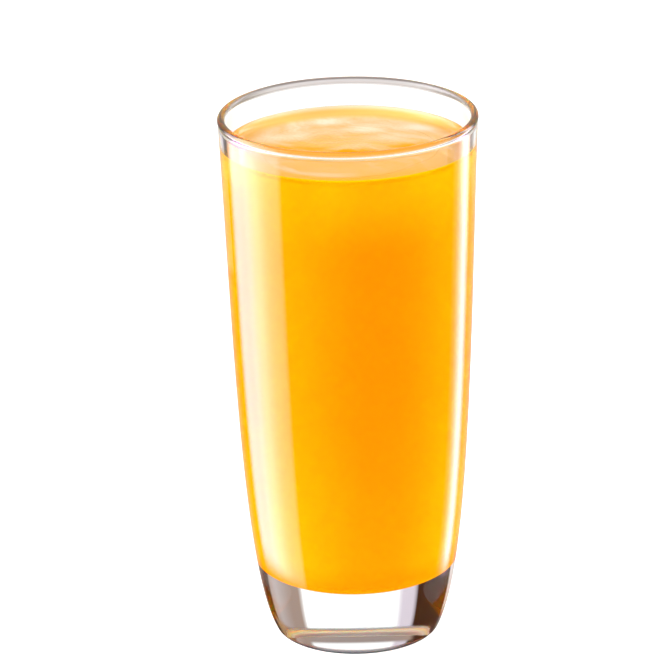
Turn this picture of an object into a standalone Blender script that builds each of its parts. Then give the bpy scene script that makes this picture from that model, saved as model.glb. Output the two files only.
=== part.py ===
"""A tall clear tumbler filled with orange juice, with a raft of froth floating on the juice."""

import math

import bmesh
import bpy
import numpy as np

# Outer form of the tumbler, in metres
RIM_DIAMETER = 0.0700
HEIGHT = 0.1480
HEEL_RADIUS = 0.0228
HEEL_HEIGHT = 0.0013
LOW_HANDLE = (0.0318, 0.0200)
HIGH_HANDLE = (0.0326, 0.0953)
NECK_RADIUS = 0.03478
NECK_BELOW_RIM = 0.0030

# Wall, bead of the rim and thick base. The bead's arc is given by its first and last angle,
# from the wall's inside over the top to its outside
BEAD_RADIUS = 0.00105
BEAD_FIRST = math.radians(210)
BEAD_LAST = math.radians(-30)
RIM_WALL = 0.0018
LOW_WALL = 0.0026
FLOOR_HEIGHT = 0.0178
FLOOR_DISH = 0.0008
CORNER_HEIGHT = 0.0080
CORNER_REACH = 0.0110
CORNER_FULLNESS = 0.60

# Underside: a flat ring to stand on, round a shallow hollow
RING_OUTER = 0.0214
RING_INNER = 0.0165
PUNT_DEPTH = 0.0016

# Juice: its level is measured down from the top of the rim, and it climbs the wall a little
CLEARANCE = 0.0003
LEVEL_BELOW_RIM = 0.0099
MENISCUS_RISE = 0.0020
MENISCUS_REACH = 0.0026
LEVEL = HEIGHT - LEVEL_BELOW_RIM

# Froth: a thin raft, some way in from the wall, that gets thinner towards its edge. Each
# wave of the edge has its number of lobes, its depth as a share of the radius and its turn,
# and the swirl lifts and lowers the top
FROTH_RADIUS = 0.0235
FROTH_BOTTOM = LEVEL + CLEARANCE
FROTH_THICKNESS = 0.0010
FROTH_EDGE = 0.0003
FROTH_WAVES = ((3, 0.022, 0.4), (5, 0.016, 2.1), (8, 0.010, 4.0))
SWIRL_HEIGHT = 0.00012
SWIRL_ARMS = 2
SWIRL_TURN = 9.0

# Facets of the turned pieces, and points along each stretch of their outlines
SEGMENTS = 64
SHARP_ANGLE = math.radians(40)
WALL_POINTS = 17
WALL_SAMPLES = 400
HEEL_POINTS = 6
BEAD_POINTS = 9
CAVITY_POINTS = 15
CORNER_POINTS = 8
DISH_POINTS = 4
PUNT_POINTS = 5
MENISCUS_POINTS = 6
FROTH_POINTS = 8
MERGE_DISTANCE = 1e-6

# Colours
GLASS_COLOUR = (0.96, 0.98, 0.97)
JUICE_COLOUR = (1.0, 0.42, 0.01)
FROTH_COLOUR = (1.0, 0.68, 0.32)


def clear_scene():
    """Removes whatever the file holds."""
    for old in list(bpy.data.objects):
        bpy.data.objects.remove(old, do_unlink=True)


def material(name, colour, roughness, transmission=0.0, ior=1.45):
    """One Principled finish; nothing here is metal."""
    finish = bpy.data.materials.new(name)
    finish.use_nodes = True
    shader = finish.node_tree.nodes["Principled BSDF"]
    shader.inputs["Base Color"].default_value = (*colour, 1.0)
    shader.inputs["Roughness"].default_value = roughness
    shader.inputs["Metallic"].default_value = 0.0
    shader.inputs["Transmission Weight"].default_value = transmission
    shader.inputs["IOR"].default_value = ior
    return finish


def bezier(start, first, second, end, count):
    """Points of a cubic curve, both ends included."""
    points = []
    for t in np.linspace(0.0, 1.0, count):
        s = 1.0 - t
        weights = (s**3, 3 * s * s * t, 3 * s * t * t, t**3)
        corners = (start, first, second, end)
        points.append(tuple(sum(w * c[i] for w, c in zip(weights, corners)) for i in (0, 1)))
    return points


def outer_wall(count):
    """The wall's outside, from the top of the heel to the neck under the rim."""
    neck = (NECK_RADIUS, HEIGHT - NECK_BELOW_RIM)
    return bezier((HEEL_RADIUS, HEEL_HEIGHT), LOW_HANDLE, HIGH_HANDLE, neck, count)


def inner_radius(height):
    """Radius of the hollow at a height: the wall gets thinner towards the rim."""
    radii, heights = zip(*outer_wall(WALL_SAMPLES))
    thickness = LOW_WALL + (RIM_WALL - LOW_WALL) * height / HEIGHT
    return float(np.interp(height, heights, radii)) - thickness


def hollow(top, clearance, count):
    """The hollow's outline from the wall at height top, down round the corner to the axis."""
    corner_top = FLOOR_HEIGHT + CORNER_HEIGHT
    points = [(inner_radius(z) - clearance, z) for z in np.linspace(top, corner_top, count)]
    (upper_r, upper_z), (r, z) = points[-2:]
    lean = (upper_r - r) / (upper_z - z)
    floor = FLOOR_HEIGHT + clearance
    edge = (r - CORNER_REACH, floor)
    down = CORNER_FULLNESS * (z - floor)
    along = CORNER_FULLNESS * CORNER_REACH
    slope = 2 * FLOOR_DISH / edge[0]
    handle_high = (r - lean * down, z - down)
    handle_low = (edge[0] + along, edge[1] + slope * along)
    points += bezier((r, z), handle_high, handle_low, edge, CORNER_POINTS)[1:]
    for s in np.linspace(1.0, 0.0, DISH_POINTS)[1:]:
        points.append((edge[0] * s, floor - FLOOR_DISH * (1.0 - s * s)))
    return points


def heel():
    """From the ring on the table round the heel to the wall."""
    (r0, z0), (r1, z1) = outer_wall(WALL_SAMPLES)[:2]
    lean = (r1 - r0) / (z1 - z0)
    rise = CORNER_FULLNESS * HEEL_HEIGHT
    low = (RING_OUTER + CORNER_FULLNESS * (HEEL_RADIUS - RING_OUTER), 0.0)
    high = (HEEL_RADIUS - lean * rise, HEEL_HEIGHT - rise)
    return bezier((RING_OUTER, 0.0), low, high, (HEEL_RADIUS, HEEL_HEIGHT), HEEL_POINTS)


def glass_outline():
    """From the floor's centre up the inside, over the bead and down the outside."""
    bead_r = RIM_DIAMETER / 2 - BEAD_RADIUS
    bead_z = HEIGHT - BEAD_RADIUS
    bead = []
    for angle in np.linspace(BEAD_FIRST, BEAD_LAST, BEAD_POINTS):
        bead.append((bead_r + BEAD_RADIUS * math.cos(angle), bead_z + BEAD_RADIUS * math.sin(angle)))
    punt = []
    for s in np.linspace(1.0, 0.0, PUNT_POINTS):
        punt.append((RING_INNER * s, PUNT_DEPTH * (1.0 - s * s)))
    inside = hollow(HEIGHT - NECK_BELOW_RIM, 0.0, CAVITY_POINTS)[::-1]
    outside = outer_wall(WALL_POINTS)[::-1]
    return inside + bead + outside + heel()[::-1][1:] + punt


def juice_outline():
    """From the axis out over the level and the meniscus, then down the wall to the axis."""
    wall = hollow(LEVEL + MENISCUS_RISE, CLEARANCE, CAVITY_POINTS)
    wall_r = wall[0][0]
    top = [(0.0, LEVEL), (wall_r / 2, LEVEL)]
    for s in np.linspace(0.0, 1.0, MENISCUS_POINTS)[:-1]:
        top.append((wall_r - MENISCUS_REACH * (1.0 - s), LEVEL + MENISCUS_RISE * s**3))
    return top + wall


def froth_outline():
    """From the top's centre down to the thin edge, then back along the flat underside."""
    points = []
    for s in np.linspace(0.0, 1.0, FROTH_POINTS):
        crown = (FROTH_THICKNESS - FROTH_EDGE) * (1.0 - s**4)
        points.append((FROTH_RADIUS * s, FROTH_BOTTOM + FROTH_EDGE + crown))
    return points + [(FROTH_RADIUS, FROTH_BOTTOM), (FROTH_RADIUS / 2, FROTH_BOTTOM), (0.0, FROTH_BOTTOM)]


def turned(name, outline, finish):
    """Spins an outline of radii and heights round the vertical axis into one closed piece."""
    shape = bmesh.new()
    verts = [shape.verts.new((r, 0.0, z)) for r, z in outline]
    edges = [shape.edges.new(pair) for pair in zip(verts, verts[1:])]
    bmesh.ops.spin(
        shape,
        geom=verts + edges,
        axis=(0.0, 0.0, 1.0),
        cent=(0.0, 0.0, 0.0),
        angle=2 * math.pi,
        steps=SEGMENTS,
        use_merge=True,
    )
    bmesh.ops.remove_doubles(shape, verts=shape.verts, dist=MERGE_DISTANCE)
    bmesh.ops.recalc_face_normals(shape, faces=shape.faces)
    mesh = bpy.data.meshes.new(name)
    shape.to_mesh(mesh)
    shape.free()
    mesh.materials.append(finish)
    piece = bpy.data.objects.new(name, mesh)
    bpy.context.collection.objects.link(piece)
    mesh.shade_smooth()
    mesh.set_sharp_from_angle(angle=SHARP_ANGLE)
    return piece


def ruffle(froth):
    """Makes the raft's edge and top uneven, and leaves its underside flat."""
    for vert in froth.data.vertices:
        angle = math.atan2(vert.co.y, vert.co.x)
        reach = math.hypot(vert.co.x, vert.co.y) / FROTH_RADIUS
        wave = sum(depth * math.sin(lobes * angle + turn) for lobes, depth, turn in FROTH_WAVES)
        vert.co.x *= 1.0 + wave * reach
        vert.co.y *= 1.0 + wave * reach
        if vert.co.z > FROTH_BOTTOM + MERGE_DISTANCE:
            vert.co.z += SWIRL_HEIGHT * math.sin(SWIRL_ARMS * angle + SWIRL_TURN * reach) * reach


clear_scene()
turned("glass", glass_outline(), material("glass", GLASS_COLOUR, roughness=0.02, transmission=1.0, ior=1.52))
turned("juice", juice_outline(), material("juice", JUICE_COLOUR, roughness=0.25))
ruffle(turned("froth", froth_outline(), material("froth", FROTH_COLOUR, roughness=0.55)))
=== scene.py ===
import math

import bpy
import numpy as np
from mathutils import Matrix, Vector


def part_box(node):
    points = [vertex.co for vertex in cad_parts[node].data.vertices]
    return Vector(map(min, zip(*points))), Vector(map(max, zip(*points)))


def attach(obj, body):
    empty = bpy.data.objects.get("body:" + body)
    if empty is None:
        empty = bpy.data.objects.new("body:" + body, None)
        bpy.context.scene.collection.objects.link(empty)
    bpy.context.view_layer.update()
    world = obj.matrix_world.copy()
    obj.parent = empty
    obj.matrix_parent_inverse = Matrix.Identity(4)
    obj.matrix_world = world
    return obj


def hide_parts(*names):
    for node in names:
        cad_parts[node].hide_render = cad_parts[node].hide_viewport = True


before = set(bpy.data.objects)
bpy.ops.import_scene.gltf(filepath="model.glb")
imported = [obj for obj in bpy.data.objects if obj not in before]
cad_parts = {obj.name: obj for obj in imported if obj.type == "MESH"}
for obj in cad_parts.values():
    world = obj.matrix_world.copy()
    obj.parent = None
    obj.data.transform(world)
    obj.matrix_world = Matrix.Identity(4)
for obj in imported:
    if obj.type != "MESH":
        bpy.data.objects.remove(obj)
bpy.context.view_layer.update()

# The tumbler: one turned piece of clear soda glass, with a fine rounded rim, a wall that
# gets thicker downwards, a heavy foot and a shallow punt under it. It is drawn as half
# an outline, point by point, and spun round the upright axis.
glass_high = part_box("glass")[1]
RIM_RADIUS = glass_high.x
GLASS_HEIGHT = glass_high.z
HEEL_RADIUS = 0.0228
HEEL_HEIGHT = 0.0013
LOW_HANDLE = (0.0318, 0.0200)
HIGH_HANDLE = (0.0326, 0.0953)
NECK_RADIUS = 0.03478
NECK_HEIGHT = GLASS_HEIGHT - 0.0030
BEAD_RADIUS = 0.00105
BEAD_FIRST = math.radians(210)
BEAD_LAST = math.radians(-30)
RIM_WALL = 0.0018
LOW_WALL = 0.0026
FLOOR_HEIGHT = 0.0178
FLOOR_DISH = 0.0008
CORNER_TOP = FLOOR_HEIGHT + 0.0080
CORNER_REACH = 0.0110
CORNER_FULLNESS = 0.60
RING_OUTER = 0.0214
RING_INNER = 0.0165
PUNT_DEPTH = 0.0016
GLASS_TURNS = 192
WALL_SAMPLES = 400
WALL_POINTS = 60
BEAD_POINTS = 25
HEEL_POINTS = 14
CORNER_POINTS = 26
FLOOR_POINTS = 12
PUNT_POINTS = 12
WELD = 1e-6

# Clear glass has one faint tint. The bead's tones are painted refraction: yellow at its
# front, dark at its sides and grey at its back. They run from its front, 0, to its back,
# 1, and their lower edge lies lower at the back and higher at the front. The flat ring
# under the foot has a painted reflection, a tinted satin metal sheen, from its inside, 0,
# to the heel, 1.
GLASS_TINT = (0.985, 0.995, 0.99)
GLASS_IOR = 1.50
BEAD_ROUGHNESS = 0.28
BEAD_DULL_FROM = (0.45, 0.65)
TONE_START = 1.4 * BEAD_RADIUS
TONE_FULL = 0.8 * BEAD_RADIUS
TONE_BACK = (0.60, 0.85)
TONE_LOWER = 0.8 * BEAD_RADIUS
TONE_FRONT = (0.15, 0.35)
TONE_HIGHER = 0.35 * BEAD_RADIUS
BEAD_REFRACTION_TONES = [
    (0.0, (0.90, 0.55, 0.02)), (0.12, (0.86, 0.46, 0.02)), (0.24, (0.45, 0.22, 0.04)),
    (0.33, (0.03, 0.014, 0.008)), (0.44, (0.02, 0.011, 0.008)), (0.52, (0.12, 0.10, 0.07)),
    (0.75, (0.30, 0.27, 0.24)), (0.88, (0.60, 0.57, 0.55)), (1.0, (0.60, 0.56, 0.55)),
]
RING_HEIGHT = (0.0005, 0.0010)
RING_ROUGHNESS = 0.35
RING_METAL = 0.85
RING_REFLECTION_TONES = [(0.0, (0.19, 0.22, 0.30)), (0.5, (0.36, 0.47, 0.58)), (0.86, (0.60, 0.85, 1.0))]


def curve(start, first, second, end, count):
    """Points of a cubic curve through start and end, pulled towards the two between."""
    points = []
    for t in np.linspace(0.0, 1.0, count):
        s = 1.0 - t
        pulls = (s**3, 3 * s * s * t, 3 * s * t * t, t**3)
        corners = (start, first, second, end)
        points.append(tuple(sum(p * c[i] for p, c in zip(pulls, corners)) for i in (0, 1)))
    return points


def outer_wall(count):
    """The wall's outside from the heel up to the neck, as radii and heights."""
    neck = (NECK_RADIUS, NECK_HEIGHT)
    return curve((HEEL_RADIUS, HEEL_HEIGHT), LOW_HANDLE, HIGH_HANDLE, neck, count)


wall_radii, wall_heights = zip(*outer_wall(WALL_SAMPLES))


def inner_radius(height):
    """Radius of the hollow at a height."""
    thickness = LOW_WALL + (RIM_WALL - LOW_WALL) * height / GLASS_HEIGHT
    return float(np.interp(height, wall_heights, wall_radii)) - thickness


def hollow(top, overlap, count):
    """The hollow from the wall at height top down to the axis, moved out by an overlap."""
    points = [(inner_radius(z) + overlap, z) for z in np.linspace(top, CORNER_TOP, count)]
    (upper_r, upper_z), (r, z) = points[-2:]
    lean = (upper_r - r) / (upper_z - z)
    floor = FLOOR_HEIGHT - overlap
    edge = (r - CORNER_REACH, floor)
    down = CORNER_FULLNESS * (z - floor)
    along = CORNER_FULLNESS * CORNER_REACH
    slope = 2 * FLOOR_DISH / edge[0]
    upper_handle = (r - lean * down, z - down)
    lower_handle = (edge[0] + along, edge[1] + slope * along)
    points += curve((r, z), upper_handle, lower_handle, edge, CORNER_POINTS)[1:]
    for s in np.linspace(1.0, 0.0, FLOOR_POINTS)[1:]:
        points.append((edge[0] * s, floor - FLOOR_DISH * (1.0 - s * s)))
    return points


def heel():
    """From the ring that the glass stands on, round the heel to the wall."""
    (r0, z0), (r1, z1) = outer_wall(WALL_SAMPLES)[:2]
    rise = CORNER_FULLNESS * HEEL_HEIGHT
    low = (RING_OUTER + CORNER_FULLNESS * (HEEL_RADIUS - RING_OUTER), 0.0)
    high = (HEEL_RADIUS - rise * (r1 - r0) / (z1 - z0), HEEL_HEIGHT - rise)
    return curve((RING_OUTER, 0.0), low, high, (HEEL_RADIUS, HEEL_HEIGHT), HEEL_POINTS)


def draw_chain(name, chain):
    """Starts a piece as a chain of edges through the places given, left in edit mode."""
    bpy.ops.object.select_all(action="DESELECT")
    bpy.ops.mesh.primitive_plane_add(size=BEAD_RADIUS, location=(0.0, 0.0, 0.0))
    piece = bpy.context.object
    piece.name = name
    bpy.ops.object.mode_set(mode="EDIT")
    bpy.ops.mesh.merge(type="CENTER")
    bpy.ops.transform.translate(value=chain[0])
    for here, there in zip(chain, chain[1:]):
        step = tuple(b - a for a, b in zip(here, there))
        bpy.ops.mesh.extrude_region_move(TRANSFORM_OT_translate={"value": step})
    bpy.ops.mesh.select_all(action="SELECT")
    return piece


def spin_outline(name, outline, turns):
    """Turns an outline of radii and heights round the upright axis and closes it."""
    piece = draw_chain(name, [(r, 0.0, z) for r, z in outline])
    bpy.ops.mesh.spin(steps=turns, angle=2 * math.pi, center=(0, 0, 0), axis=(0, 0, 1))
    bpy.ops.mesh.select_all(action="SELECT")
    bpy.ops.mesh.remove_doubles(threshold=WELD)
    bpy.ops.mesh.normals_make_consistent(inside=False)
    bpy.ops.object.mode_set(mode="OBJECT")
    bpy.ops.object.shade_smooth()
    return piece


class Signal:
    """A value that runs through a material. Sums and products of signals add Math nodes."""

    def __init__(self, tree, socket=None):
        self.tree = tree
        self.socket = socket

    def node(self, kind, settings=None, values=None, output=0):
        """Adds a node: its settings first, then the values or links of its sockets."""
        made = self.tree.nodes.new("ShaderNode" + kind)
        for name, value in (settings or {}).items():
            if name == "stops":
                ramp = made.color_ramp
                while len(ramp.elements) < len(value):
                    ramp.elements.new(1.0)
                for element, (place, colour) in zip(ramp.elements, value):
                    element.position = place
                    element.color = (*colour, 1.0)
            else:
                setattr(made, name, value)
        for name, value in (values or {}).items():
            if isinstance(value, Signal):
                self.tree.links.new(value.socket, made.inputs[name])
            else:
                made.inputs[name].default_value = value
        return Signal(self.tree, made.outputs[output])

    def math(self, operation, *operands):
        """Adds a Math node on the operands."""
        return self.node("Math", {"operation": operation}, dict(enumerate(operands)))

    def __add__(self, other):
        return self.math("ADD", self, other)

    def __sub__(self, other):
        return self.math("SUBTRACT", self, other)

    def __rsub__(self, other):
        return self.math("SUBTRACT", other, self)

    def __mul__(self, other):
        return self.math("MULTIPLY", self, other)

    def __truediv__(self, other):
        return self.math("DIVIDE", self, other)

    __radd__ = __add__
    __rmul__ = __mul__

    def ramp(self, low, high):
        """Rises smoothly from 0 at low to 1 at high."""
        span = {"Value": self, "From Min": low, "From Max": high}
        return self.node("MapRange", {"interpolation_type": "SMOOTHSTEP"}, span)

    def share(self, low, high):
        """Rises evenly from 0 at low to 1 at high."""
        return self.node("MapRange", {}, {"Value": self, "From Min": low, "From Max": high})

    def tones(self, stops):
        """The colour that a list of places and colours gives for this signal."""
        return self.node("ValToRGB", {"stops": stops}, {0: self})

    def blend(self, first, second):
        """The first colour where this signal is 0, the second where it is 1."""
        colours = {0: self, 6: first, 7: second}
        return self.node("Mix", {"data_type": "RGBA"}, colours, output=2)

    def length(self, other):
        """How long the slanted side is over two others at a right angle."""
        return self.math("SQRT", self * self + other * other)


def new_finish(name):
    """An empty material, with the signal that its nodes start from."""
    finish = bpy.data.materials.new(name)
    finish.use_nodes = True
    finish.node_tree.nodes.clear()
    return finish, Signal(finish.node_tree)


def where(start):
    """The place on a piece as one vector, and its x, y and z."""
    place = start.node("TexCoord", output=3)
    parts = start.node("SeparateXYZ", {}, {0: place}).socket.node.outputs
    return place, *(Signal(start.tree, part) for part in parts)


def close_finish(start, shader):
    """Sends a shader to the material's output."""
    out = start.tree.nodes.new("ShaderNodeOutputMaterial")
    start.tree.links.new(shader.socket, out.inputs["Surface"])


bead = []
for angle in np.linspace(BEAD_FIRST, BEAD_LAST, BEAD_POINTS):
    across = RIM_RADIUS - BEAD_RADIUS * (1.0 - math.cos(angle))
    bead.append((across, GLASS_HEIGHT - BEAD_RADIUS * (1.0 - math.sin(angle))))
punt = []
for s in np.linspace(1.0, 0.0, PUNT_POINTS):
    punt.append((RING_INNER * s, PUNT_DEPTH * (1.0 - s * s)))
inside = hollow(NECK_HEIGHT, 0.0, WALL_POINTS)[::-1]
outline = inside + bead + outer_wall(WALL_POINTS)[::-1] + heel()[::-1][1:] + punt
tumbler = spin_outline("tumbler", outline, GLASS_TURNS)

glass, start = new_finish("clear_glass")
x, y, height = where(start)[1:]
backwards = y.share(-RIM_RADIUS, RIM_RADIUS)
# The bead's painted refraction: yellow at the front, dark at the sides, grey at the back.
tone_height = height + backwards.ramp(*TONE_BACK) * TONE_LOWER
tone_height = tone_height - (1.0 - backwards.ramp(*TONE_FRONT)) * TONE_HIGHER
in_bead = tone_height.ramp(GLASS_HEIGHT - TONE_START, GLASS_HEIGHT - TONE_FULL)
# The flat ring's painted reflection: a tinted satin metal sheen under the foot.
on_ring = 1.0 - height.ramp(*RING_HEIGHT)
ring_reflection_tone = x.length(y).share(RING_INNER, HEEL_RADIUS).tones(RING_REFLECTION_TONES)
clear = on_ring.blend((*GLASS_TINT, 1.0), ring_reflection_tone)
dullness = in_bead * backwards.ramp(*BEAD_DULL_FROM) * BEAD_ROUGHNESS
body = start.node("BsdfPrincipled", {}, {
    "Base Color": in_bead.blend(clear, backwards.tones(BEAD_REFRACTION_TONES)),
    "Roughness": dullness + on_ring * RING_ROUGHNESS,
    "Metallic": on_ring * RING_METAL,
    "IOR": GLASS_IOR,
    "Transmission Weight": 1.0,
})

# Light on its way to the drink goes straight through the glass
is_shadow = start.node("LightPath", output=1)
is_diffuse = start.node("LightPath", output=2)
lets_light_in = start.math("MAXIMUM", is_shadow, is_diffuse)
through = start.node("BsdfTransparent")
close_finish(start, start.node("MixShader", {}, {0: lets_light_in, 1: body, 2: through}))
tumbler.data.materials.append(glass)
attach(tumbler, "root")
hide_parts("glass")

# The orange juice: an opaque, cloudy drink that fills the hollow up to its level and
# climbs the wall a little. Its side and floor reach just into the glass, so that no air
# shows between the two. The side is deep and translucent, and the open top wet, streaked.
juice_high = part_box("juice")[1]
MENISCUS_RISE = 0.0020
MENISCUS_REACH = 0.0026
MENISCUS_CURVE = 3
LEVEL = juice_high.z - MENISCUS_RISE
INTO_GLASS = 0.00015
MENISCUS_POINTS = 18
SURFACE_POINTS = 14
JUICE_TURNS = 128

# The side's colours: orange in the body, with painted light making it paler under the
# level and near the floor but less so at the sides, and painted shade making it deepest
# right at the floor and brown where it faces down.
JUICE_COLOUR = (1.0, 0.30, 0.001)
LIT_PALER_COLOUR = (1.0, 0.44, 0.002)
DEEP_SHADE_COLOUR = (0.93, 0.22, 0.001)
UNDER_SHADE_COLOUR = (0.22, 0.14, 0.09)
UNDER_SLOPE = -0.955
FACING_UP = 0.3
SIDE_ROUGHNESS = 0.25
SCATTER_DEPTH = 0.0025
SCATTER_SHARES = (1.0, 0.35, 0.05)
CLOUD_SCALE = 90.0
CLOUD_DETAIL = 3.0
CLOUD_SHARE = 0.10
MIDDLE_X = 0.007
OFF_MIDDLE = (0.008, 0.022)
TOP_FADE = (LEVEL - 0.022, LEVEL + 0.002)
TOP_SHARE = 1.1
TOP_SHARE_LOST = 0.75
LOW_FADE = (FLOOR_HEIGHT + 0.004, FLOOR_HEIGHT + 0.066)
LOW_SHARE = 0.4
DEEP_SHADE_FADE = (FLOOR_HEIGHT, FLOOR_HEIGHT + 0.010)

# The open top's colours: golden where the drink shows, peach and cream where froth lies
# on it. The rest is painted light and shade: mostly yellower tones along the wall, which
# run from the front, 0, to the back, 1, a painted highlight on the brim at the back, and
# painted shade by the front rim and in the crescent.
OPEN_COLOUR = (1.0, 0.50, 0.07)
PEACH_COLOUR = (1.0, 0.67, 0.37)
CREAM_COLOUR = (1.0, 0.82, 0.60)
BRIM_HIGHLIGHT_COLOUR = (1.0, 0.88, 0.62)
FRONT_SHADE_COLOUR = (1.0, 0.44, 0.010)
GAP_SHADE_COLOUR = (0.90, 0.37, 0.006)
WALL_LIGHT_AND_SHADE_TONES = [
    (0.0, (1.0, 0.46, 0.01)), (0.2, (1.0, 0.52, 0.08)), (0.45, (1.0, 0.54, 0.22)),
    (0.7, (0.82, 0.40, 0.07)), (0.9, (1.0, 0.63, 0.16)),
]
TOP_ROUGHNESS = 0.6
WET_ROUGHNESS = 0.08
WET_IOR = 1.34

side = hollow(LEVEL + MENISCUS_RISE, INTO_GLASS, WALL_POINTS)
side_r = side[0][0]
still_r = side_r - MENISCUS_REACH
top = [(still_r * s, LEVEL) for s in np.linspace(0.0, 1.0, SURFACE_POINTS)[:-1]]
for s in np.linspace(0.0, 1.0, MENISCUS_POINTS)[:-1]:
    top.append((still_r + MENISCUS_REACH * s, LEVEL + MENISCUS_RISE * s**MENISCUS_CURVE))
juice = spin_outline("orange_juice", top + side, JUICE_TURNS)
# The faces that look down, which get a painted shade.
under_side = juice.data.attributes.new("under_side", "FLOAT", "POINT")
for vert in juice.data.vertices:
    under_side.data[vert.index].value = 1.0 if vert.normal.z < UNDER_SLOPE else 0.0

drink, start = new_finish("orange_juice")
place, x, y, height = where(start)
is_shaded_under = start.node("Attribute", {"attribute_name": "under_side"}, output=2)
cloud_values = {"Vector": place, "Scale": CLOUD_SCALE, "Detail": CLOUD_DETAIL}
cloud = start.node("TexNoise", {}, cloud_values)
# Painted light: paler near the top, less so off the middle, and near the floor. Painted shade:
# deepest at the floor, brown on the faces underneath. The cloud is the drink's own uneven tone.
off_middle = start.math("ABSOLUTE", x - MIDDLE_X).ramp(*OFF_MIDDLE)
lit_near_top = height.ramp(*TOP_FADE) * (TOP_SHARE - off_middle * TOP_SHARE_LOST)
lit_near_floor = 1.0 - height.ramp(*LOW_FADE)
paler = lit_near_top + lit_near_floor * LOW_SHARE + (cloud - 0.5) * CLOUD_SHARE
side_colour = paler.blend((*JUICE_COLOUR, 1.0), (*LIT_PALER_COLOUR, 1.0))
side_colour = height.ramp(*DEEP_SHADE_FADE).blend((*DEEP_SHADE_COLOUR, 1.0), side_colour)
body = start.node("BsdfPrincipled", {"subsurface_method": "RANDOM_WALK"}, {
    "Base Color": is_shaded_under.blend(side_colour, (*UNDER_SHADE_COLOUR, 1.0)),
    "Roughness": SIDE_ROUGHNESS,
    "Specular IOR Level": 0.0,
    "Subsurface Weight": 1.0,
    "Subsurface Radius": SCATTER_SHARES,
    "Subsurface Scale": SCATTER_DEPTH,
})
close_finish(start, body)

# How thick the froth lies: more towards the back, in turned streaks, fine bubbles and
# cream patches, which are partly froth and partly painted glints. Each patch is given by
# its middle and its reach.
BACK_RISE = (-0.004, 0.030)
BACK_FROTH = 0.75
LEAST_FROTH = 0.08
BEND_SCALE = 110.0
BEND_REACH = (0.010, 0.010, 0.0)
STREAK_SCALE = (50.0, 180.0, 100.0)
STREAK_DETAIL = 3.0
STREAK_TURN = 25.0
STREAK_FROTH = 1.8
BUBBLE_SCALE = 1500.0
BUBBLE_FROTH = 0.3
PATCH_FROTH = 0.6
PATCH_SQUEEZE = 0.5
FROTH_AND_GLINT_PATCHES = [
    (0.0126, 0.0082, 0.0060), (0.0040, 0.0160, 0.0050), (-0.0181, 0.0102, 0.0060),
    (-0.0060, 0.0240, 0.0050), (0.0210, 0.0180, 0.0060),
]
PEACH_FROM = (-0.1, 0.9)
CREAM_FROM = (0.75, 1.3)
DRY_FROM = (0.3, 1.2)
DRY_SHARE = 0.7

# Where the top's painted light and shade begin and end, in metres or as a share of the
# way back: painted shade under the front rim, painted light and shade along the wall,
# painted shade in the crescent that the froth leaves open, a painted highlight on the
# lit edge at the front left, and another on the drink's brim at the back.
BY_RIM = (-0.016, -0.009)
BY_RIM_SHARE = 0.35
FRONT_FADE = (0.05, 0.40)
FRONT_REACH = (0.0205, 0.0255)
WALL_REACH = (still_r - 0.004, still_r + 0.001)
GAP_MIDDLE_Y = 0.027
GAP_FROM = (0.0265, 0.0305)
GAP_TO = (0.0345, 0.0365)
GAP_BACK = (0.0, 0.006)
GAP_STREAKS = (0.75, 0.45)
LIT_FROM = (0.0200, 0.0222)
LIT_TO = (0.0230, 0.0250)
LIT_RIGHT = (-0.006, 0.006)
LIT_BACK = (-0.016, -0.004)
LIT_STREAKS = (0.25, 0.5)
LIT_SHARE = 0.6
BRIM_RISE = (LEVEL + 0.0006, LEVEL + MENISCUS_RISE)
BRIM_BACK = (0.65, 0.95)


def froth_density(start, place, x, y, away):
    """How thick the froth lies, and the streaks in it alone."""
    bend = start.node("TexNoise", {}, {"Vector": place, "Scale": BEND_SCALE}, output=1)
    bent = {0: bend, 1: BEND_REACH, 2: place}
    bent = start.node("VectorMath", {"operation": "MULTIPLY_ADD"}, bent)
    turn = {"Vector": bent, "Angle": away * STREAK_TURN}
    turned = start.node("VectorRotate", {"rotation_type": "Z_AXIS"}, turn)
    stretched = start.node("Mapping", {}, {"Vector": turned, "Scale": STREAK_SCALE})
    streaks = {"Vector": stretched, "Scale": 1.0, "Detail": STREAK_DETAIL}
    streaks = start.node("TexNoise", {}, streaks)
    bubbles = start.node("TexNoise", {}, {"Vector": place, "Scale": BUBBLE_SCALE})
    density = y.ramp(*BACK_RISE) * BACK_FROTH + (streaks - 0.5) * STREAK_FROTH
    density = density + (bubbles - 0.5) * BUBBLE_FROTH + LEAST_FROTH
    # Each cream patch is froth and a painted glint on it.
    for patch_x, patch_y, reach in FROTH_AND_GLINT_PATCHES:
        near = ((x - patch_x) * PATCH_SQUEEZE).length(y - patch_y)
        density = density + (1.0 - near.ramp(0.0, reach)) * PATCH_FROTH
    return density, streaks


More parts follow.
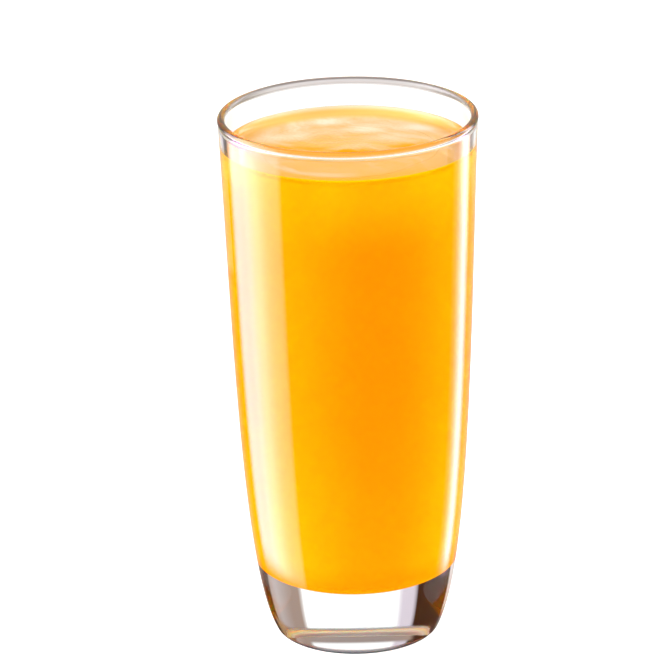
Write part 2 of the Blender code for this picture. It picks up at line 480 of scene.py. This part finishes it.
def poured_finish(start, more):
    """Finishes the drink's top, or the froth that lies on it: their colours, painted light
    and shade among them, and a wet coat where the froth is thin. More values go to the
    shader as they are."""
    place, x, y, z = where(start)
    away = x.length(y)
    density, streaks = froth_density(start, place, x, y, away)
    colour = density.ramp(*PEACH_FROM).blend((*OPEN_COLOUR, 1.0), (*PEACH_COLOUR, 1.0))
    colour = density.ramp(*CREAM_FROM).blend(colour, (*CREAM_COLOUR, 1.0))
    # Painted shade by the front rim and in the open crescent, painted light and shade along the
    # wall, and painted highlights on the lit edge and the brim.
    rim_shade = (1.0 - y.ramp(*BY_RIM)) * BY_RIM_SHARE
    colour = rim_shade.blend(colour, (*FRONT_SHADE_COLOUR, 1.0))
    backwards = y.share(-side_r, side_r)
    colour = away.ramp(*WALL_REACH).blend(colour, backwards.tones(WALL_LIGHT_AND_SHADE_TONES))
    from_middle = x.length(y - GAP_MIDDLE_Y)
    shaded_gap = from_middle.ramp(*GAP_FROM) * (1.0 - from_middle.ramp(*GAP_TO))
    shaded_gap = shaded_gap * (1.0 - y.ramp(*GAP_BACK)) * streaks.ramp(*GAP_STREAKS)
    colour = shaded_gap.blend(colour, (*GAP_SHADE_COLOUR, 1.0))
    front_shade = (1.0 - backwards.ramp(*FRONT_FADE)) * away.ramp(*FRONT_REACH)
    colour = front_shade.blend(colour, (*FRONT_SHADE_COLOUR, 1.0))
    lit = away.ramp(*LIT_FROM) * (1.0 - away.ramp(*LIT_TO))
    lit = lit * (1.0 - x.ramp(*LIT_RIGHT)) * (1.0 - y.ramp(*LIT_BACK))
    lit = lit * streaks.ramp(*LIT_STREAKS) * LIT_SHARE
    colour = lit.blend(colour, (*PEACH_COLOUR, 1.0))
    brim_highlight = z.ramp(*BRIM_RISE) * backwards.ramp(*BRIM_BACK)
    colour = brim_highlight.blend(colour, (*BRIM_HIGHLIGHT_COLOUR, 1.0))
    wetness = (1.0 - density.ramp(*DRY_FROM) * DRY_SHARE) * (1.0 - front_shade) * (1.0 - shaded_gap)
    close_finish(start, start.node("BsdfPrincipled", {}, {
        "Base Color": colour,
        "Roughness": TOP_ROUGHNESS,
        "Specular IOR Level": 0.0,
        "Coat Weight": wetness,
        "Coat Roughness": WET_ROUGHNESS,
        "Coat IOR": WET_IOR,
        **more,
    }))


open_top, start = new_finish("juice_top")
poured_finish(start, {})
juice.data.materials.append(drink)
juice.data.materials.append(open_top)
for face in juice.data.polygons:
    inwards = inner_radius(face.center.z) - math.hypot(face.center.x, face.center.y)
    faces_up = face.normal.z > FACING_UP or inwards > 0.0
    face.material_index = 1 if faces_up and face.center.z > LEVEL - WELD else 0
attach(juice, "root")
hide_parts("juice")

# The froth: a thin raft of fine bubbles and pulp that floats on the juice, some way in
# from the wall. It thins out to nothing at its uneven edge, and has the colours of the
# drink's top, so that only its relief and its bubbles set it off.
FROTH_RADIUS = 0.0235
FROTH_SUNK = 0.0006
FROTH_LIFT = 0.00002
FROTH_CROWN = 0.0007
CROWN_FALL = 1.5
UNDERCUT = 0.99
FROTH_WAVES = ((3, 0.022, 0.4), (5, 0.016, 2.1), (8, 0.010, 4.0))
FROTH_RINGS = 80
FROTH_TURNS = 240
FROTH_RELIEF = 0.00022
RELIEF_FALL = 4
BUBBLE_SIZE = 0.0009
SWELL_SIZE = 0.004
GRAIN_SCALE = 1600.0
GRAIN_STRENGTH = 0.35
GRAIN_DEPTH = 0.0001

outline = []
for s in np.linspace(0.0, 1.0, FROTH_RINGS):
    crown = FROTH_CROWN * (1.0 - s**2) ** CROWN_FALL
    outline.append((FROTH_RADIUS * s, LEVEL + FROTH_LIFT + crown))
outline += [(FROTH_RADIUS * UNDERCUT, LEVEL - FROTH_SUNK), (0.0, LEVEL - FROTH_SUNK)]
froth = spin_outline("froth_raft", outline, FROTH_TURNS)
top_side = froth.vertex_groups.new(name="top_side")
for vert in froth.data.vertices:
    angle = math.atan2(vert.co.y, vert.co.x)
    reach = math.hypot(vert.co.x, vert.co.y) / FROTH_RADIUS
    wave = sum(depth * math.sin(count * angle + turn) for count, depth, turn in FROTH_WAVES)
    vert.co.x *= 1.0 + wave * reach
    vert.co.y *= 1.0 + wave * reach
    if vert.co.z > LEVEL:
        top_side.add([vert.index], 1.0 - reach**RELIEF_FALL, "REPLACE")


def displace(piece, kind, scale):
    """Raises and lowers the froth's top by one of Blender's textures."""
    texture = bpy.data.textures.new(kind.lower(), kind)
    texture.noise_scale = scale
    relief = piece.modifiers.new(kind.lower(), "DISPLACE")
    relief.texture = texture
    relief.texture_coords = "LOCAL"
    relief.direction = "Z"
    relief.strength = FROTH_RELIEF
    relief.mid_level = 0.5
    relief.vertex_group = "top_side"
    bpy.context.view_layer.objects.active = piece
    bpy.ops.object.modifier_apply(modifier=relief.name)


displace(froth, "VORONOI", BUBBLE_SIZE)
displace(froth, "CLOUDS", SWELL_SIZE)

foam, start = new_finish("froth_foam")
place = where(start)[0]
grain = start.node("TexNoise", {}, {"Vector": place, "Scale": GRAIN_SCALE})
grain = {"Height": grain, "Strength": GRAIN_STRENGTH, "Distance": GRAIN_DEPTH}
poured_finish(start, {"Normal": start.node("Bump", {}, grain)})
froth.data.materials.append(foam)
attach(froth, "root")
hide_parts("froth")

# The camera: a long lens, well in front of the glass and above it, aimed down at it and
# turned a little about its own line of sight.
CAMERA_PLACE = Vector((0.0, -1.2, 0.52367))
CAMERA_YAW = math.radians(-0.2658)
CAMERA_PITCH = math.radians(20.0332)
CAMERA_ROLL = math.radians(-1.2385)
CAMERA_LENS = 255.3
CAMERA_SENSOR = 36.0
NEAREST = 0.05
FARTHEST = 20.0

level = math.cos(CAMERA_PITCH)
ahead = Vector((math.sin(CAMERA_YAW) * level, math.cos(CAMERA_YAW) * level, -math.sin(CAMERA_PITCH)))
flat_right = ahead.cross(Vector((0.0, 0.0, 1.0))).normalized()
flat_up = flat_right.cross(ahead)
right = flat_right * math.cos(CAMERA_ROLL) + flat_up * math.sin(CAMERA_ROLL)
up = flat_up * math.cos(CAMERA_ROLL) - flat_right * math.sin(CAMERA_ROLL)
eye = bpy.data.cameras.new("camera")
eye.lens = CAMERA_LENS
eye.sensor_width = CAMERA_SENSOR
eye.clip_start = NEAREST
eye.clip_end = FARTHEST
camera = bpy.data.objects.new("camera", eye)
bpy.context.scene.collection.objects.link(camera)
turn = Matrix((right, up, -ahead)).transposed().to_4x4()
camera.matrix_world = Matrix.Translation(CAMERA_PLACE) @ turn
bpy.context.scene.camera = camera

# The floor and the sky: a pale floor with a glow of its own, which neither the glass's
# reflections nor its foot take in, and an even white sky that ends at the horizon.
FLOOR_SIZE = 8.0
FLOOR_GREY = (0.6, 0.6, 0.6, 1.0)
FLOOR_GLOW = 0.7
SKY_LIGHT = 1.08
HORIZON = (-0.02, 0.02)
OVERHEAD = (0.5, 0.8)
OVERHEAD_DROP = 0.1

bpy.ops.object.select_all(action="DESELECT")
bpy.ops.mesh.primitive_plane_add(size=FLOOR_SIZE, location=(0.0, 0.0, 0.0))
floor = bpy.context.object
floor.name = "floor"
pale, start = new_finish("floor")
matt = start.node("BsdfDiffuse", {}, {"Color": FLOOR_GREY})
lit = start.node("Emission", {}, {"Color": (1.0, 1.0, 1.0, 1.0), "Strength": FLOOR_GLOW})
close_finish(start, start.node("AddShader", {}, {0: matt, 1: lit}))
floor.data.materials.append(pale)
floor.visible_glossy = False
floor.visible_transmission = False

sky = bpy.data.worlds.new("sky")
bpy.context.scene.world = sky
sky.use_nodes = True
backdrop = sky.node_tree.nodes["Background"]
start = Signal(sky.node_tree)
direction = start.node("TexCoord", output=0)
upward = start.node("SeparateXYZ", {}, {0: direction}, output=2)
above = upward.ramp(*HORIZON) * (SKY_LIGHT - OVERHEAD_DROP * upward.ramp(*OVERHEAD))
sky.node_tree.links.new(above.socket, backdrop.inputs["Color"])
backdrop.inputs["Strength"].default_value = 1.0

# The lamps: one soft lamp on each side lights the drink through the glass. Neither is
# seen, reflected or refracted.
LAMP_DISTANCE = 0.9
LAMP_HEIGHT = 0.08
LAMP_WIDTH = 0.3
LAMP_TALL = 0.6


def lamp(name, azimuth, power):
    """A soft lamp, aimed at the glass. Angles run from the camera's side, and those to
    the left are negative."""
    light = bpy.data.lights.new(name, "AREA")
    light.shape = "RECTANGLE"
    light.size = LAMP_WIDTH
    light.size_y = LAMP_TALL
    light.energy = power
    made = bpy.data.objects.new(name, light)
    bpy.context.scene.collection.objects.link(made)
    a = math.radians(azimuth)
    made.location = (LAMP_DISTANCE * math.sin(a), -LAMP_DISTANCE * math.cos(a), LAMP_HEIGHT)
    aim = Vector((0.0, 0.0, GLASS_HEIGHT / 2)) - made.location
    made.rotation_mode = "QUATERNION"
    made.rotation_quaternion = aim.to_track_quat("-Z", "Y")
    made.visible_camera = False
    made.visible_glossy = False
    made.visible_transmission = False


lamp("left_lamp", azimuth=-85.0, power=14.0)
lamp("right_lamp", azimuth=115.0, power=16.0)

# The soft boxes: tall curved cards on the left, the right and behind, which show only as
# the glass's highlights. They shine through upright bands, brightest in the middle.
BOX_RADIUS = 1.2
BOX_BOTTOM = -1.2
BOX_TOP = 1.6
BOX_STEPS = 32
BOX_EDGE = (-0.04, 0.04)
HIGH_EDGE = (-0.292, -0.283)
HIGH_TILT = 0.05
HIGH_FADE = 0.8
DEGREES = 180.0 / math.pi
WHITE = (1.0, 1.0, 1.0)
DEEP_ROSE = (1.0, 0.43, 0.97)
ROSE = (1.0, 0.50, 0.97)
PINK = (1.0, 0.74, 0.97)
SHELL = (1.0, 0.62, 0.97)


def soft_box(name, first, last, low_first, low_last, lift, stops):
    """A tall card from one angle to another. Its lower edge runs from one height to
    another, and the stops give its light and tint from its first angle to its last.
    What the clear wall over the drink reflects is whiter, and raised by lift."""
    a = math.radians(first)
    edge = [(BOX_RADIUS * math.sin(a), -BOX_RADIUS * math.cos(a), z) for z in (BOX_BOTTOM, BOX_TOP)]
    made = draw_chain(name, edge)
    sweep = math.radians(first - last)
    bpy.ops.mesh.spin(steps=BOX_STEPS, angle=sweep, center=(0, 0, 0), axis=(0, 0, 1))
    bpy.ops.object.mode_set(mode="OBJECT")
    made.visible_camera = False
    made.visible_diffuse = False
    made.visible_transmission = False
    made.visible_shadow = False
    light, start = new_finish(name)
    x, y, z = where(start)[1:]
    behind = start.math("ARCTAN2", x * -1.0, y) * DEGREES + 180.0
    if first < 0.0:
        behind = behind - 360.0
    along = behind.share(first, last)
    most = max(value for place, value, tint in stops)
    tints = [(place, [value / most * part for part in tint]) for place, value, tint in stops]
    high = (z + along * HIGH_TILT).ramp(*HIGH_EDGE)
    whiter = {"Color": along.tones(tints), "Saturation": 1.0 - high * HIGH_FADE}
    shade = start.node("HueSaturation", {}, whiter)
    shade = (high * lift).blend(shade, (*WHITE, 1.0))
    over_edge = z - (along * (low_last - low_first) + low_first)
    strength = over_edge.ramp(*BOX_EDGE) * most
    close_finish(start, start.node("Emission", {}, {"Color": shade, "Strength": strength}))
    made.data.materials.append(light)


soft_box("left_box", first=-141.0, last=-63.0, low_first=-0.58, low_last=-0.89, lift=0.05, stops=[
    (0.05, 0.0, DEEP_ROSE), (0.09, 0.9, DEEP_ROSE), (0.14, 3.6, DEEP_ROSE),
    (0.19, 5.3, DEEP_ROSE), (0.25, 6.1, DEEP_ROSE), (0.35, 7.1, DEEP_ROSE),
    (0.43, 8.5, ROSE), (0.60, 7.0, PINK), (0.77, 4.2, PINK), (0.94, 2.8, PINK),
    (1.0, 0.0, PINK),
])
soft_box("right_box", first=107.0, last=141.0, low_first=-0.73, low_last=-0.61, lift=0.0, stops=[
    (0.0, 0.0, SHELL), (0.2, 0.8, SHELL), (0.32, 2.5, SHELL), (0.44, 4.8, SHELL),
    (0.56, 6.7, SHELL), (0.68, 6.7, SHELL), (0.79, 4.0, SHELL), (0.91, 1.3, SHELL),
    (1.0, 0.4, SHELL),
])
soft_box("back_box", first=141.0, last=219.0, low_first=-0.6, low_last=-0.6, lift=0.6, stops=[
    (0.0, 0.25, WHITE), (0.5, 0.6, WHITE), (0.8, 0.3, WHITE), (0.93, 0.08, WHITE),
    (1.0, 0.05, WHITE),
])

# The surround: a ball of pale and dark screens that only the clear glass looks out at.
# Its bands run round from behind over the left, the front at 0 and the right, and the
# foot's ring looks at bands of its own, higher up.
SURROUND_RADIUS = 1.5
SURROUND_LIGHT = 1.25
SURROUND_TURNS = 64
SURROUND_RINGS = 32
MAUVE = (0.45, 0.34, 0.30)
DIM_MAUVE = (0.34, 0.25, 0.21)
LIGHT_MAUVE = (0.49, 0.42, 0.41)
LILAC = (0.64, 0.57, 0.64)
BROWN = (0.045, 0.014, 0.006)
UMBER = (0.09, 0.055, 0.04)
RUST = (0.24, 0.10, 0.04)
PALE = (0.90, 0.85, 0.84)
TAN = (0.46, 0.26, 0.13)
SMOKE = (0.30, 0.24, 0.22)
LIGHT_SMOKE = (0.32, 0.26, 0.24)
RIM_GREY = (0.34, 0.30, 0.29)
BANDS = [
    (-180, WHITE), (-155, WHITE), (-153, MAUVE), (-127, MAUVE), (-124, UMBER),
    (-104, UMBER), (-96, WHITE), (-72, WHITE), (-70, PALE), (-62, PALE), (-60, BROWN),
    (-28, BROWN), (-26, LILAC), (-19, LILAC), (-17, WHITE), (24, WHITE), (26, DIM_MAUVE),
    (33, DIM_MAUVE), (45, LIGHT_MAUVE), (52, MAUVE), (54, BROWN), (76, BROWN), (78, PALE),
    (95, WHITE), (125, WHITE), (127, BROWN), (139, BROWN), (141, LILAC), (152, WHITE),
    (180, WHITE),
]
RING_BANDS = [
    (-180, WHITE), (-75, WHITE), (-60, BROWN), (-33, BROWN), (-28, DIM_MAUVE),
    (-10, SMOKE), (20, LIGHT_SMOKE), (30, DIM_MAUVE), (38, MAUVE), (41, RUST), (48, TAN),
    (58, TAN), (62, BROWN), (78, BROWN), (82, WHITE), (180, WHITE),
]

# Where the ring's bands, the pale low front and the screen that the rim looks down at
# begin and end: climbs in degrees over the horizon, shares of a turn, and depths.
RING_FROM = (6.0, 12.0)
RING_TO = (26.0, 33.0)
RING_TO_SIDEWAYS = 12.0
SIDEWAYS = (0.085, 0.10)
LOW_CLIMB = (-4.0, 2.0)
LOW_DEPTH = (-0.1 * SURROUND_RADIUS, 0.1 * SURROUND_RADIUS)
RIM_FROM = (-27.0, -23.0)
RIM_TO = (-62.0, -52.0)
RIM_GREY_DEPTH = (0.45 * SURROUND_RADIUS, 0.65 * SURROUND_RADIUS)

bpy.ops.object.select_all(action="DESELECT")
bpy.ops.mesh.primitive_uv_sphere_add(
    segments=SURROUND_TURNS, ring_count=SURROUND_RINGS, radius=SURROUND_RADIUS
)
surround = bpy.context.object
surround.name = "surround"
screens, start = new_finish("surround")
x, y, z = where(start)[1:]
azimuth = start.math("ARCTAN2", x, y) * (0.5 / math.pi) + 0.5
around, around_ring = (
    azimuth.tones([((angle + 180.0) / 360.0, colour) for angle, colour in bands])
    for bands in (BANDS, RING_BANDS)
)
climb = start.math("ARCSINE", z / SURROUND_RADIUS) * DEGREES
low_front = (1.0 - climb.ramp(*LOW_CLIMB)) * (1.0 - y.ramp(*LOW_DEPTH))
seen = low_front.blend(around, (*WHITE, 1.0))
sideways = start.math("ABSOLUTE", azimuth - 0.5).ramp(*SIDEWAYS)
in_ring = climb.ramp(*RING_FROM) * (1.0 - (climb - sideways * RING_TO_SIDEWAYS).ramp(*RING_TO))
seen = in_ring.blend(seen, around_ring)
under_rim = (1.0 - climb.ramp(*RIM_FROM)) * climb.ramp(*RIM_TO)
rim_screen = y.ramp(*RIM_GREY_DEPTH).blend((*BROWN, 1.0), (*RIM_GREY, 1.0))
seen = under_rim.blend(seen, rim_screen)
close_finish(start, start.node("Emission", {}, {"Color": seen, "Strength": SURROUND_LIGHT}))
surround.data.materials.append(screens)
surround.visible_camera = False
surround.visible_diffuse = False
surround.visible_glossy = False
surround.visible_shadow = False

# The picture: plain tones, and enough bounces for light to cross both walls, the drink's
# edge and the foot.
GLASS_BOUNCES = 24
CLEAR_BOUNCES = 32

scene = bpy.context.scene
scene.view_settings.view_transform = "Standard"
scene.cycles.max_bounces = GLASS_BOUNCES
scene.cycles.glossy_bounces = GLASS_BOUNCES
scene.cycles.transmission_bounces = GLASS_BOUNCES
scene.cycles.transparent_max_bounces = CLEAR_BOUNCES
